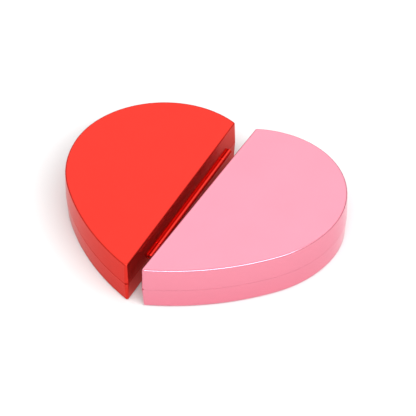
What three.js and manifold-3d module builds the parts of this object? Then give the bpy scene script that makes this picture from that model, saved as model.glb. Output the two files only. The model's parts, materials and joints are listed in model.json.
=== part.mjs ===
// Wind-up music box in two half-heart clamshell cases. Millimetres, +Z up, the table at z = 0.
// Each half is drawn in its own frame: the heart's tip at the origin, the straight wall along +Y to the
// cleft, and the curved side towards +X (side = 1, pink) or -X (side = -1, red).
import * as THREE from "three";
import { mergeVertices } from "three/addons/utils/BufferGeometryUtils.js";
import Module from "manifold-3d";

const wasm = await Module();
wasm.setup();

// ---- driving dimensions: the half-heart outline at the parting line ----
const WALL_LENGTH = 160; // tip to cleft, along the straight wall
const LOBE_RADIUS = 64.2;
const SHOULDER_RADIUS = 80.5;
const CLEFT_HEADING = THREE.MathUtils.degToRad(24.2); // the curve's rise as it leaves the cleft
const LOBE_SWEEP = THREE.MathUtils.degToRad(119.9);
const SHOULDER_SWEEP = THREE.MathUtils.degToRad(34.6);
const CORNER_RADIUS = 2; // both upright corners

// ---- the case ----
const PAD_HEIGHT = 0.4; // the pads stand this far out of the underside
const BASE_BOTTOM = PAD_HEIGHT;
const PARTING = 15.1;
const TOP = 31.6;
const PARTING_GAP = 0.3;
const WALL = 2;
const LIP = 0.35; // chamfer along both edges of the parting line
const BASE_DRAFT = 0.8;
const LID_DRAFT = 0.4;
const TOP_ROUND = 1.3;
const BOTTOM_ROUND = 0.8;
const CEILING = TOP - WALL;
const FLOOR = BASE_BOTTOM + WALL;

// ---- how the halves lie ----
const GAP_AT_TIP = 8.8;
const HALF_TURN = THREE.MathUtils.degToRad(1.02); // each half is turned this much away from the heart's axis
const PINK_AHEAD = 0.8; // the pink half lies this much nearer the cleft

// ---- hinge on each straight wall ----
const HINGE_OUT = 0.8; // the axis stands this far in front of the wall
const KNUCKLE_RADIUS = 2;
const HINGE_PIN_RADIUS = 0.65;
const HINGE_BORE = 0.95;
const HINGE_START = 30;
const HINGE_END = 148;
const END_KNUCKLE = 12;
const KNUCKLE_GAP = 0.4;
const RUNNING_GAP = 0.3;

// ---- inside ----
const TRAY_TOP = 14.1;
const TRAY_THICKNESS = 1.5;
const TRAY_INSET = 2.5;
const POCKET_INSET = 6;
const POCKET_SPLIT = 62; // the tip pocket lies below this, the lobe above
const MIRROR_THICKNESS = 2;
const MIRROR_INSET = 8;
const PAD_RADIUS = 5;
const PAD_THICKNESS = 1;
const ROLL_COUNT = 7;
const ROLL_PITCH = 11.6;
const ROLL_WIDTH = 10.6;
const ROLL_HEIGHT = 9.5;
const ROLL_FIRST = 72.5;

// ---- movement, in its own frame: z = 0 at the bedplate's underside, X along the cylinder ----
const MOVEMENT_AT = { u: 34, v: 128, z: 8.6 }; // the winding arbor's place in the red half
const PLATE = { x0: -16, x1: 47, y0: -28, y1: 16.5, height: 1.6 };
const CYLINDER_Z = 9;
const CYLINDER_RADIUS = 6.3;
const CYLINDER_START = 13.7;
const CYLINDER_LENGTH = 18;
const TUNE_PIN = 0.8;
const COMB_TEETH = 18;
const CROWN_TEETH = 36;
const CROWN_RADIUS = 10.8;
const PINION_TEETH = 10;
const PINION_RADIUS = 3;
const WHEEL_MODULE = 0.4;
const CYLINDER_WHEEL_TEETH = 34;
const GOVERNOR_PINION_TEETH = 8;
const WORM_WHEEL_TEETH = 16;
const GOVERNOR_DISTANCE = 8.6; // between the cylinder's axis and the governor wheel's
const WORM_X = 40.6;
const WORM_RADIUS = 1.3;
const WORM_WHEEL_RADIUS = (WORM_WHEEL_TEETH * WHEEL_MODULE) / 2;
const WORM_Y = GOVERNOR_DISTANCE - WORM_WHEEL_RADIUS - WORM_RADIUS;
const WORM_PHASE = Math.PI / 2; // puts the thread in the worm wheel's tooth spaces
const FAN_RADIUS = 4;
const FAN_BOTTOM = 12.8;
const FAN_TOP = 14.6;
const COVER_TOP = 17.7;
const PLUNGER = { x: 37.6, y: -6.5, top: 18.6, radius: 1 };
const SCREW_RADIUS = 1.25;
const CASE_SCREW = { headRadius: 2.6, headHeight: 1.4, shankRadius: SCREW_RADIUS };
const COMB_SCREW = { headRadius: 1.9, headHeight: 1.1, shankRadius: 1, length: -4 };
const PINS_PER_ROW = 3;
const ROW_TURN = 2.399; // radians from one row of tune pins to the next
const PIN_TURN = 2.1; // radians between the pins of a row
const MOVEMENT_SCREWS = [
  [-13, -25],
  [26, 13],
  [43, -25],
];
const COMB_SCREWS = [
  [15.2, -21.4],
  [22.7, -21.4],
  [30.2, -21.4],
];

// ---- key recess under the red half ----
const RECESS_RADIUS = 19;
const RECESS_CEILING = 6.5;
const KEY_AXIS_Z = 3.6;
const ARBOR_RADIUS = 2;

const RED = new THREE.MeshStandardMaterial({ color: 0xff3a2c, roughness: 0.3, metalness: 0.5 });
const PINK = new THREE.MeshStandardMaterial({ color: 0xf5a3b8, roughness: 0.35, metalness: 0.5 });
const BRASS = new THREE.MeshStandardMaterial({ color: 0xc9a227, roughness: 0.3, metalness: 0.9 });
const STEEL = new THREE.MeshStandardMaterial({ color: 0xb9bcc2, roughness: 0.3, metalness: 0.9 });
const SILVER = new THREE.MeshStandardMaterial({ color: 0xdadde0, roughness: 0.05, metalness: 1 });
const VELVET = new THREE.MeshStandardMaterial({ color: 0x5a1220, roughness: 0.95, metalness: 0 });
const CREAM = new THREE.MeshStandardMaterial({ color: 0xf3e4dc, roughness: 0.9, metalness: 0 });
const CLEAR = new THREE.MeshStandardMaterial({ color: 0xeef4f6, roughness: 0.05, metalness: 0 });
const DARK = new THREE.MeshStandardMaterial({ color: 0x2a2a2c, roughness: 0.9, metalness: 0 });

// ---------------------------------------------------------------- solids
// A closed three.js geometry as a manifold solid, for joining and cutting.
function solid(geometry) {
  const bare = geometry.clone();
  bare.deleteAttribute("normal");
  bare.deleteAttribute("uv");
  const merged = mergeVertices(bare, 1e-4);
  return new wasm.Manifold(
    new wasm.Mesh({
      numProp: 3,
      vertProperties: new Float32Array(merged.attributes.position.array),
      triVerts: new Uint32Array(merged.index.array),
    }),
  );
}

function geometryOf(shape) {
  const mesh = shape.getMesh();
  const geometry = new THREE.BufferGeometry();
  geometry.setAttribute("position", new THREE.BufferAttribute(mesh.vertProperties, 3));
  geometry.setIndex(new THREE.BufferAttribute(mesh.triVerts, 1));
  geometry.computeVertexNormals();
  return geometry;
}

function join(shapes) {
  return shapes.reduce((whole, next) => whole.add(next));
}

function cut(shape, tools) {
  return tools.reduce((rest, tool) => rest.subtract(tool), shape);
}

function node(name, shape, material) {
  const mesh = new THREE.Mesh(geometryOf(shape), material);
  mesh.name = name;
  return mesh;
}

function box(x0, x1, y0, y1, z0, z1) {
  const geometry = new THREE.BoxGeometry(x1 - x0, y1 - y0, z1 - z0);
  return solid(geometry.translate((x0 + x1) / 2, (y0 + y1) / 2, (z0 + z1) / 2));
}

function upright(x, y, radius, z0, z1, steps = 24) {
  const geometry = new THREE.CylinderGeometry(radius, radius, z1 - z0, steps);
  return solid(geometry.rotateX(Math.PI / 2).translate(x, y, (z0 + z1) / 2));
}

function alongX(y, z, radius, x0, x1, steps = 20) {
  const geometry = new THREE.CylinderGeometry(radius, radius, x1 - x0, steps);
  return solid(geometry.rotateZ(Math.PI / 2).translate((x0 + x1) / 2, y, z));
}

function alongY(x, z, radius, y0, y1, steps = 20) {
  const geometry = new THREE.CylinderGeometry(radius, radius, y1 - y0, steps);
  return solid(geometry.translate(x, (y0 + y1) / 2, z));
}

// A flat outline of points, pushed up from z0 to z1.
function plate(points, z0, z1) {
  const outline = new THREE.Shape(points);
  const geometry = new THREE.ExtrudeGeometry(outline, { depth: z1 - z0, bevelEnabled: false });
  return solid(geometry.translate(0, 0, z0));
}

// ---------------------------------------------------------------- the half-heart outline
function polar(centre, radius, angle) {
  return new THREE.Vector2(centre.x + radius * Math.cos(angle), centre.y + radius * Math.sin(angle));
}

const LOBE_CENTRE = polar({ x: 0, y: WALL_LENGTH }, -LOBE_RADIUS, Math.PI / 2 + CLEFT_HEADING);
const LOBE_END = Math.PI / 2 + CLEFT_HEADING - LOBE_SWEEP;
const SHOULDER_CENTRE = polar(LOBE_CENTRE, LOBE_RADIUS - SHOULDER_RADIUS, LOBE_END);
const SHOULDER_END = LOBE_END - SHOULDER_SWEEP;
const FLANK_START = polar(SHOULDER_CENTRE, SHOULDER_RADIUS, SHOULDER_END);
// The flank is the one arc that leaves the shoulder smoothly and passes through the tip.
const FLANK_RADIUS =
  FLANK_START.lengthSq() / (2 * FLANK_START.dot(polar({ x: 0, y: 0 }, 1, SHOULDER_END)));
const FLANK_CENTRE = polar(FLANK_START, -FLANK_RADIUS, SHOULDER_END);

function arc(centre, radius, from, to, steps) {
  const angleAt = (i) => from + ((to - from) * i) / steps;
  return Array.from({ length: steps + 1 }, (_, i) => polar(centre, radius, angleAt(i)));
}

// The outline moved inwards by inset, anticlockwise. Every inset gives the same number of points.
function halfHeart(side, inset) {
  const corner = Math.max(0.3, CORNER_RADIUS - inset);
  const reach = inset + corner;
  const atCleft = new THREE.Vector2(
    reach,
    LOBE_CENTRE.y + Math.sqrt((LOBE_RADIUS - reach) ** 2 - (reach - LOBE_CENTRE.x) ** 2),
  );
  const atTip = new THREE.Vector2(
    reach,
    FLANK_CENTRE.y - Math.sqrt((FLANK_RADIUS - reach) ** 2 - (reach - FLANK_CENTRE.x) ** 2),
  );
  const cleftAngle = atCleft.clone().sub(LOBE_CENTRE).angle();
  const tipAngle = atTip.clone().sub(FLANK_CENTRE).angle() - 2 * Math.PI;
  const points = [
    ...arc(FLANK_CENTRE, FLANK_RADIUS - inset, tipAngle, SHOULDER_END, 6),
    ...arc(SHOULDER_CENTRE, SHOULDER_RADIUS - inset, SHOULDER_END, LOBE_END, 6).slice(1),
    ...arc(LOBE_CENTRE, LOBE_RADIUS - inset, LOBE_END, cleftAngle, 20).slice(1),
    ...arc(atCleft, corner, cleftAngle, Math.PI, 3).slice(1),
    ...arc(atTip, corner, Math.PI, tipAngle + 2 * Math.PI, 4).slice(0, -1),
  ];
  if (side > 0) return points;
  return points.map((p) => new THREE.Vector2(-p.x, p.y)).reverse();
}

// A solid whose level at each height z is the outline moved inwards by inset.
function loft(side, levels) {
  const rings = levels.map(({ inset }) => halfHeart(side, inset));
  const count = rings[0].length;
  const positions = rings.flatMap((ring, i) => ring.flatMap((p) => [p.x, p.y, levels[i].z]));
  const cap = THREE.ShapeUtils.triangulateShape(rings[0], []);
  const topCap = THREE.ShapeUtils.triangulateShape(rings[rings.length - 1], []);
  const last = (rings.length - 1) * count;
  const index = cap.flatMap(([a, b, c]) => [a, c, b]);
  index.push(...topCap.flatMap(([a, b, c]) => [last + a, last + b, last + c]));
  for (let level = 0; level + 1 < rings.length; level++) {
    for (let i = 0; i < count; i++) {
      const a = level * count + i;
      const b = level * count + ((i + 1) % count);
      index.push(a, b, a + count, b, b + count, a + count);
    }
  }
  const geometry = new THREE.BufferGeometry();
  geometry.setAttribute("position", new THREE.Float32BufferAttribute(positions, 3));
  geometry.setIndex(index);
  return solid(geometry);
}

function slab(side, inset, z0, z1) {
  return loft(side, [
    { inset, z: z0 },
    { inset, z: z1 },
  ]);
}

// Levels of a quarter-round edge of the given radius, from the upright wall to the flat.
function quarterRound(inset, z, radius, up, steps) {
  return Array.from({ length: steps + 1 }, (_, i) => {
    const angle = (i / steps) * (Math.PI / 2);
    return { inset: inset + radius * (1 - Math.cos(angle)), z: z + up * radius * Math.sin(angle) };
  });
}

// ---------------------------------------------------------------- the cases
const KNUCKLES = [
  { owner: "base", from: HINGE_START, to: HINGE_START + END_KNUCKLE - KNUCKLE_GAP / 2 },
  {
    owner: "lid",
    from: HINGE_START + END_KNUCKLE + KNUCKLE_GAP / 2,
    to: HINGE_END - END_KNUCKLE - KNUCKLE_GAP / 2,
  },
  { owner: "base", from: HINGE_END - END_KNUCKLE + KNUCKLE_GAP / 2, to: HINGE_END },
];

// Adds a shell's own knuckles and clears it round the other shell's.
function hinged(shape, side, owner) {
  const x = -side * HINGE_OUT;
  const own = KNUCKLES.filter((k) => k.owner === owner);
  const others = KNUCKLES.filter((k) => k.owner !== owner);
  const barrels = own.map((k) => alongY(x, PARTING, KNUCKLE_RADIUS, k.from, k.to));
  const clearance = others.map((k) =>
    alongY(x, PARTING, KNUCKLE_RADIUS + RUNNING_GAP, k.from - KNUCKLE_GAP, k.to + KNUCKLE_GAP),
  );
  const bore = alongY(x, PARTING, HINGE_BORE, HINGE_START - 1, HINGE_END + 1);
  return cut(join([cut(shape, clearance), ...barrels]), [bore]);
}

function baseShell(side, extras, cuts) {
  const rim = PARTING - PARTING_GAP / 2;
  const outside = loft(side, [
    ...quarterRound(BASE_DRAFT, BASE_BOTTOM + BOTTOM_ROUND, BOTTOM_ROUND, -1, 2).reverse(),
    { inset: 0, z: rim - LIP },
    { inset: LIP, z: rim },
  ]);
  const inside = slab(side, WALL, FLOOR, PARTING + 1);
  return hinged(cut(join([cut(outside, [inside]), ...extras]), cuts), side, "base");
}

function lidShell(side) {
  const rim = PARTING + PARTING_GAP / 2;
  const outside = loft(side, [
    { inset: LIP, z: rim },
    { inset: 0, z: rim + LIP },
    ...quarterRound(LID_DRAFT, TOP - TOP_ROUND, TOP_ROUND, 1, 3),
  ]);
  return hinged(cut(outside, [slab(side, WALL, PARTING - 1, CEILING)]), side, "lid");
}

function hingePin(side) {
  return alongY(-side * HINGE_OUT, PARTING, HINGE_PIN_RADIUS, HINGE_START + 0.5, HINGE_END - 0.5, 16);
}

const PAD_PLACES = [
  { u: 9, v: 20 },
  { u: 9, v: 150 },
  { u: 66, v: 132 },
  { u: 66, v: 66 },
];

function padRecesses(side) {
  return PAD_PLACES.map(({ u, v }) =>
    upright(side * u, v, PAD_RADIUS + RUNNING_GAP, BASE_BOTTOM - 1, PAD_THICKNESS + 0.1),
  );
}

function pads(side, colour) {
  return PAD_PLACES.map(({ u, v }, i) =>
    node(`${colour}_pad_${i + 1}`, upright(side * u, v, PAD_RADIUS, 0, PAD_THICKNESS), DARK),
  );
}

function mirror(side) {
  const top = CEILING - 0.1;
  return slab(side, MIRROR_INSET, top - MIRROR_THICKNESS, top);
}

// A springy tongue inside the lid's curved wall that grips a post on the base when the case is shut.
const CATCH = { u: LOBE_CENTRE.x + LOBE_RADIUS - WALL, v: LOBE_CENTRE.y, half: 5, thickness: 1.2, depth: 3 };

function lidCatch(side) {
  const outer = CATCH.u - 0.5;
  const inner = outer - CATCH.thickness;
  const [x0, x1] = [side * inner, side * outer].sort((a, b) => a - b);
  return box(x0, x1, CATCH.v - CATCH.half, CATCH.v + CATCH.half, PARTING - CATCH.depth, PARTING + 8);
}

function catchPost(side) {
  const outer = CATCH.u - 0.5 - CATCH.thickness - RUNNING_GAP;
  const [x0, x1] = [side * (outer - 2), side * outer].sort((a, b) => a - b);
  return box(x0, x1, CATCH.v - CATCH.half, CATCH.v + CATCH.half, FLOOR - 0.5, PARTING - 3.2);
}

function catchNotch(side) {
  const [x0, x1] = [side * (CATCH.u - 4.6), side * (CATCH.u + 3)].sort((a, b) => a - b);
  const half = CATCH.half + 1;
  return box(x0, x1, CATCH.v - half, CATCH.v + half, FLOOR - 1, PARTING);
}

// ---------------------------------------------------------------- trays
// A pocket between two heights along the wall: its lining and the hollow inside it.
function pocket(side, from, to) {
  const wall = TRAY_THICKNESS;
  const reach = 200;
  const lining = slab(side, POCKET_INSET - wall, FLOOR + 0.2, TRAY_TOP - 0.1).intersect(
    box(-reach, reach, from - wall, to + wall, 0, PARTING),
  );
  const hollow = slab(side, POCKET_INSET, FLOOR + 0.2 + wall, PARTING + 1).intersect(
    box(-reach, reach, from, to, 0, PARTING + 2),
  );
  return { lining, hollow };
}

function tray(side, pockets, cuts) {
  const sheet = slab(side, TRAY_INSET, TRAY_TOP - TRAY_THICKNESS, TRAY_TOP);
  const solids = join([sheet, ...pockets.map((p) => p.lining)]);
  return cut(solids, [...pockets.map((p) => p.hollow), catchNotch(side), ...cuts]);
}

// Half the chord of the pocket's outline at height v: how far a roll can run from the wall.
function pocketReach(v) {
  const radius = LOBE_RADIUS - POCKET_INSET;
  return LOBE_CENTRE.x + Math.sqrt(radius ** 2 - (v - LOBE_CENTRE.y) ** 2);
}

// One ring roll: a long pad with a domed top and a flat foot.
function ringRoll(side, v) {
  const start = POCKET_INSET + 0.8;
  const end = Math.min(pocketReach(v - ROLL_WIDTH / 2), pocketReach(v + ROLL_WIDTH / 2)) - 1;
  const half = ROLL_WIDTH / 2;
  const shape = new THREE.Shape();
  shape.moveTo(-half, 0);
  shape.lineTo(half, 0);
  shape.lineTo(half, ROLL_HEIGHT - half);
  shape.absarc(0, ROLL_HEIGHT - half, half, 0, Math.PI, false);
  const options = { depth: end - start, bevelEnabled: false, curveSegments: 8 };
  const geometry = new THREE.ExtrudeGeometry(shape, options);
  geometry.rotateX(Math.PI / 2).rotateZ(Math.PI / 2);
  const foot = FLOOR + 0.2 + TRAY_THICKNESS + 0.2;
  return solid(geometry.translate(side > 0 ? start : -end, v, foot));
}

// ---------------------------------------------------------------- movement
// A spur wheel about the X axis with straight-flanked teeth; phase turns the first tooth from +Y.
function spurWheel(teeth, radius, module, width, phase) {
  const pitch = (2 * Math.PI) / teeth;
  const levels = [
    [-0.3, radius - 1.25 * module],
    [-0.11, radius + 0.85 * module],
    [0.11, radius + 0.85 * module],
    [0.3, radius - 1.25 * module],
  ];
  const points = [];
  for (let tooth = 0; tooth < teeth; tooth++) {
    for (const [share, r] of levels) points.push(polar({ x: 0, y: 0 }, r, phase + (tooth + share) * pitch));
  }
  const geometry = new THREE.ExtrudeGeometry(new THREE.Shape(points), { depth: width, bevelEnabled: false });
  // The outline is turned to stand across the X axis, with the thickness along it.
  return solid(geometry.rotateX(Math.PI / 2).rotateZ(Math.PI / 2));
}

function bedplate() {
  const sheet = box(PLATE.x0, PLATE.x1, PLATE.y0, PLATE.y1, 0, PLATE.height);
  const step = box(12.5, 33, -25.5, -17.6, PLATE.height - 0.5, CYLINDER_Z - 0.4);
  const holes = [
    upright(0, 0, ARBOR_RADIUS + RUNNING_GAP, -1, 3),
    upright(PLUNGER.x, PLUNGER.y, PLUNGER.radius + RUNNING_GAP, -1, 3, 16),
    ...MOVEMENT_SCREWS.map(([x, y]) => upright(x, y, SCREW_RADIUS + RUNNING_GAP, -1, 3, 16)),
    ...COMB_SCREWS.map(([x, y]) => upright(x, y, 1.3, 3, CYLINDER_Z, 16)),
  ];
  return cut(join([sheet, step]), holes);
}

// A cheese-head screw with a slot: the head's seat at z, shank towards -length (down) or +length (up).
function screw(x, y, z, { headRadius, headHeight, shankRadius, length }) {
  const up = Math.sign(length);
  const [h0, h1] = [z, z - up * headHeight].sort((a, b) => a - b);
  const [s0, s1] = [z - up * 0.1, z + length].sort((a, b) => a - b);
  const head = upright(x, y, headRadius, h0, h1, 20);
  const shank = upright(x, y, shankRadius, s0, s1, 12);
  const face = up > 0 ? h0 : h1;
  const slot = box(x - headRadius, x + headRadius, y - 0.25, y + 0.25, face - 0.4, face + 0.4);
  return cut(join([head, shank]), [slot]);
}

function springHousing() {
  const radius = 9.3;
  const [z0, z1] = [5.5, 13.5];
  const cup = cut(upright(0, 0, radius, z0, z1, 40), [upright(0, 0, radius - 0.8, z0 - 1, z1 - 1, 40)]);
  const legs = [-1, 1].flatMap((i) => {
    const turn = Math.PI + (i * Math.PI) / 5;
    const arm = new THREE.BoxGeometry(6.4, 5, 1.5).translate(11.2, 0, z1 - 0.75).rotateZ(turn);
    const foot = PLATE.height + 0.1;
    const leg = new THREE.BoxGeometry(1.6, 5, z1 - foot).translate(13.6, 0, (z1 + foot) / 2);
    return [solid(arm), solid(leg.rotateZ(turn))];
  });
  return cut(join([cup, ...legs]), [upright(0, 0, ARBOR_RADIUS + RUNNING_GAP, z0, z1 + 1)]);
}

// The coiled spring strip, wound outwards from beside the arbor.
function mainspring() {
  const turns = 4;
  const stepsPerTurn = 16;
  const inner = 3;
  const outer = 8;
  const strip = 0.35;
  const count = turns * stepsPerTurn;
  const radiusAt = (i) => inner + ((outer - inner) * i) / count;
  const edge = (offset) =>
    Array.from({ length: count + 1 }, (_, i) =>
      polar({ x: 0, y: 0 }, radiusAt(i) + offset, (i / stepsPerTurn) * 2 * Math.PI),
    );
  const [bottom, top] = [6.2, 12.2]; // the strip's two edges, clear of the housing's roof
  return plate([...edge(strip), ...edge(0).reverse()], bottom, top);
}

function windingArbor() {
  const bottom = 2.6 - MOVEMENT_AT.z;
  const thick = upright(0, 0, ARBOR_RADIUS, PLATE.height - 4, 14.2);
  const thin = upright(0, 0, 1.4, bottom, PLATE.height - 3.5);
  return join([thick, thin]);
}

// A flat wheel with teeth standing up round its rim.
function driveWheel() {
  const [discBottom, discTop] = [3.7, 5.2];
  const disc = upright(0, 0, CROWN_RADIUS + 0.8, discBottom, discTop, 48);
  const collar = upright(0, 0, 4, 2, discBottom + 0.1);
  const inner = CROWN_RADIUS - 0.9;
  const outer = CROWN_RADIUS + 0.75;
  const pitch = (2 * Math.PI) / CROWN_TEETH;
  const teeth = Array.from({ length: CROWN_TEETH }, (_, i) => {
    const shape = new THREE.Shape([
      new THREE.Vector2(-0.5, 0),
      new THREE.Vector2(0.5, 0),
      new THREE.Vector2(0.18, 1.55),
      new THREE.Vector2(-0.18, 1.55),
    ]);
    const tooth = new THREE.ExtrudeGeometry(shape, { depth: outer - inner, bevelEnabled: false });
    tooth.rotateX(Math.PI / 2).rotateZ(Math.PI / 2).translate(inner, 0, discTop - 0.1);
    tooth.rotateZ((i + 0.5) * pitch);
    return solid(tooth);
  });
  return cut(join([disc, collar, ...teeth]), [upright(0, 0, ARBOR_RADIUS + RUNNING_GAP, 0, 8)]);
}

function movePart(shape, x, y, z) {
  return solid(geometryOf(shape).translate(x, y, z));
}

// The cylinder's arbor with the pinion that the drive wheel turns.
function cylinderArbor() {
  const shaft = alongX(0, CYLINDER_Z, 1.2, 9.9, 35.6, 16);
  const pinion = spurWheel(PINION_TEETH, PINION_RADIUS, 0.6, 1.7, -Math.PI / 2);
  return join([shaft, movePart(pinion, 9.9, 0, CYLINDER_Z)]);
}

// The drum, with one row of tune pins for every tooth of the comb.
function pinnedCylinder() {
  const drum = cut(
    alongX(0, CYLINDER_Z, CYLINDER_RADIUS, CYLINDER_START, CYLINDER_START + CYLINDER_LENGTH, 36),
    [alongX(0, CYLINDER_Z, 1.5, 0, 50, 16)],
  );
  const pins = [];
  for (let row = 0; row < COMB_TEETH; row++) {
    for (let k = 0; k < PINS_PER_ROW; k++) {
      const turn = row * ROW_TURN + k * PIN_TURN;
      const pin = new THREE.BoxGeometry(0.4, TUNE_PIN + 0.6, 0.4);
      pin.translate(CYLINDER_START + row + 0.5, CYLINDER_RADIUS + TUNE_PIN / 2 - 0.3, 0).rotateX(turn);
      pins.push(solid(pin.translate(0, 0, CYLINDER_Z)));
    }
  }
  return join([drum, ...pins]);
}

function cylinderWheel() {
  const radius = (CYLINDER_WHEEL_TEETH * WHEEL_MODULE) / 2;
  const wheel = spurWheel(CYLINDER_WHEEL_TEETH, radius, WHEEL_MODULE, 1.2, 0);
  return cut(movePart(wheel, 33.9, 0, CYLINDER_Z), [alongX(0, CYLINDER_Z, 1.5, 30, 40, 16)]);
}

function cylinderBearing(x) {
  const post = box(x, x + 1.2, -4, 4, PLATE.height + 0.1, CYLINDER_Z + 2.6);
  return cut(post, [alongX(0, CYLINDER_Z, 1.5, x - 1, x + 3, 16)]);
}

function comb() {
  const tips = -(CYLINDER_RADIUS + TUNE_PIN + 0.4);
  const root = -17.4;
  const heel = -25;
  const slot = 0.3;
  const points = [new THREE.Vector2(CYLINDER_START - 0.6, heel)];
  points.push(new THREE.Vector2(CYLINDER_START + CYLINDER_LENGTH + 0.6, heel));
  for (let i = COMB_TEETH - 1; i >= 0; i--) {
    const left = CYLINDER_START + i + slot / 2;
    const right = CYLINDER_START + i + 1 - slot / 2;
    const depth = root + 3 * (i / COMB_TEETH);
    points.push(new THREE.Vector2(right, depth), new THREE.Vector2(right, tips));
    points.push(new THREE.Vector2(left, tips), new THREE.Vector2(left, depth));
  }
  const sheet = plate(points, CYLINDER_Z - 0.3, CYLINDER_Z + 0.6);
  return cut(
    sheet,
    COMB_SCREWS.map(([x, y]) => upright(x, y, 1.3, 5, 12, 16)),
  );
}

function governorFrame() {
  const foot = box(36, 43.4, -4.6, 11, PLATE.height + 0.1, PLATE.height + 1.3);
  const column = box(39.6, 41.8, -4.6, -2.6, PLATE.height + 0.1, 15.7);
  const arm = box(39.6, 41.8, -4.6, WORM_Y + 1.5, 14.9, 15.7);
  const uprights = [36.1, 42.5].map((x) => box(x, x + 0.9, 6.2, 11, PLATE.height + 0.1, 10.5));
  const bores = [
    alongX(GOVERNOR_DISTANCE, CYLINDER_Z, 1, 30, 45, 12),
    upright(WORM_X, WORM_Y, 0.8, 0, 20, 12),
  ];
  return cut(join([foot, column, arm, ...uprights]), bores);
}

// The wheel between the cylinder and the worm: a pinion, a worm wheel and their shaft.
function governorWheel() {
  const pinionRadius = (GOVERNOR_PINION_TEETH * WHEEL_MODULE) / 2;
  const halfTooth = Math.PI / GOVERNOR_PINION_TEETH;
  const pinion = spurWheel(GOVERNOR_PINION_TEETH, pinionRadius, WHEEL_MODULE, 1.2, Math.PI + halfTooth);
  const wormWheel = spurWheel(WORM_WHEEL_TEETH, WORM_WHEEL_RADIUS, WHEEL_MODULE, 1, 0);
  return join([
    alongX(GOVERNOR_DISTANCE, CYLINDER_Z, 0.7, 33.9, 43.2, 12),
    movePart(pinion, 33.9, GOVERNOR_DISTANCE, CYLINDER_Z),
    movePart(wormWheel, WORM_X - 0.5, GOVERNOR_DISTANCE, CYLINDER_Z),
  ]);
}

// The worm on its upright shaft, with the two-bladed fan that brakes it against the air.
function airBrakeFan() {
  const lead = Math.PI * WHEEL_MODULE;
  const root = WORM_RADIUS - 0.45;
  const tip = WORM_RADIUS + 0.3;
  const turns = 3;
  const steps = 10;
  const rings = turns * steps;
  const section = [
    [root - 0.2, -0.3],
    [tip, -0.1],
    [tip, 0.1],
    [root - 0.2, 0.3],
  ];
  const start = CYLINDER_Z - (turns * lead) / 2;
  const positions = [];
  for (let i = 0; i <= rings; i++) {
    const turn = (i / steps) * 2 * Math.PI + WORM_PHASE;
    for (const [r, h] of section) {
      positions.push(r * Math.cos(turn), r * Math.sin(turn), start + (i / steps) * lead + h);
    }
  }
  const index = [0, 1, 2, 0, 2, 3];
  for (let i = 0; i < rings; i++) {
    for (let k = 0; k < 4; k++) {
      const a = i * 4 + k;
      const b = i * 4 + ((k + 1) % 4);
      index.push(a, a + 4, b, b, a + 4, b + 4);
    }
  }
  const last = rings * 4;
  index.push(last, last + 2, last + 1, last, last + 3, last + 2);
  const thread = new THREE.BufferGeometry();
  thread.setAttribute("position", new THREE.Float32BufferAttribute(positions, 3));
  thread.setIndex(index);
  const shaft = upright(0, 0, root, 3.2, FAN_TOP + 0.1, 14);
  const pivots = upright(0, 0, 0.5, PLATE.height + 0.3, FAN_TOP + 0.9, 10);
  const blades = box(-FAN_RADIUS, FAN_RADIUS, -0.2, 0.2, FAN_BOTTOM, FAN_TOP);
  return movePart(join([shaft, pivots, solid(thread), blades]), WORM_X, WORM_Y, 0);
}

function stopPlunger() {
  const { x, y, top, radius } = PLUNGER;
  const brake = box(x - 0.5, x + 0.5, y, WORM_Y - 0.6, FAN_TOP + 0.2, FAN_TOP + 0.6);
  return join([upright(x, y, radius, 0.2, top, 16), brake]);
}

function clearCover() {
  const wall = 1.2;
  const out = 0.6;
  const foot = PLATE.height + 0.1;
  const outside = box(PLATE.x0 + out, PLATE.x1 - out, PLATE.y0 + out, PLATE.y1 - out, foot, COVER_TOP);
  const inset = out + wall;
  const inside = box(
    PLATE.x0 + inset,
    PLATE.x1 - inset,
    PLATE.y0 + inset,
    PLATE.y1 - inset,
    0,
    COVER_TOP - wall,
  );
  return cut(outside, [inside, upright(PLUNGER.x, PLUNGER.y, PLUNGER.radius + 0.4, 10, 20, 16)]);
}

// ---------------------------------------------------------------- folding key, in the movement's frame
const KEY_Z = KEY_AXIS_Z - MOVEMENT_AT.z; // the grip's pivot below the bedplate

function keyHub() {
  const top = RECESS_CEILING - 0.4 - MOVEMENT_AT.z;
  const hub = upright(0, 0, 4.5, 1.4 - MOVEMENT_AT.z, top, 28);
  const cuts = [upright(0, 0, 1.7, 2.4 - MOVEMENT_AT.z, top + 1, 16), alongX(0, KEY_Z, 0.9, -6, 6, 12)];
  return cut(hub, cuts);
}

function keyPin(side) {
  const inner = 2.1;
  const outer = 6.4;
  return side > 0 ? alongX(0, KEY_Z, 0.6, inner, outer, 12) : alongX(0, KEY_Z, 0.6, -outer, -inner, 12);
}

// A bail with a round bow that lies flat beside the hub.
function keyGrip() {
  const arm = 6.6;
  const inside = 4.9;
  const bow = 8.2;
  const back = -1.8;
  const shape = new THREE.Shape();
  shape.moveTo(inside, back);
  shape.lineTo(arm, back);
  shape.lineTo(arm, bow);
  shape.absarc(0, bow, arm, 0, Math.PI, false);
  shape.lineTo(-arm, back);
  shape.lineTo(-inside, back);
  shape.lineTo(-inside, bow);
  shape.absarc(0, bow, inside, Math.PI, 0, true);
  const geometry = new THREE.ExtrudeGeometry(shape, { depth: 2.4, bevelEnabled: false, curveSegments: 16 });
  return cut(solid(geometry.translate(0, 0, KEY_Z - 1.2)), [alongX(0, KEY_Z, 0.9, -8, 8, 12)]);
}

// ---------------------------------------------------------------- assembly
function placeMovement(group) {
  group.position.set(-MOVEMENT_AT.u, MOVEMENT_AT.v, MOVEMENT_AT.z);
  group.rotation.z = -Math.PI / 2;
}

// A point of the movement's frame in the red half's frame.
function inRedHalf(x, y) {
  return [-MOVEMENT_AT.u + y, MOVEMENT_AT.v - x];
}

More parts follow.
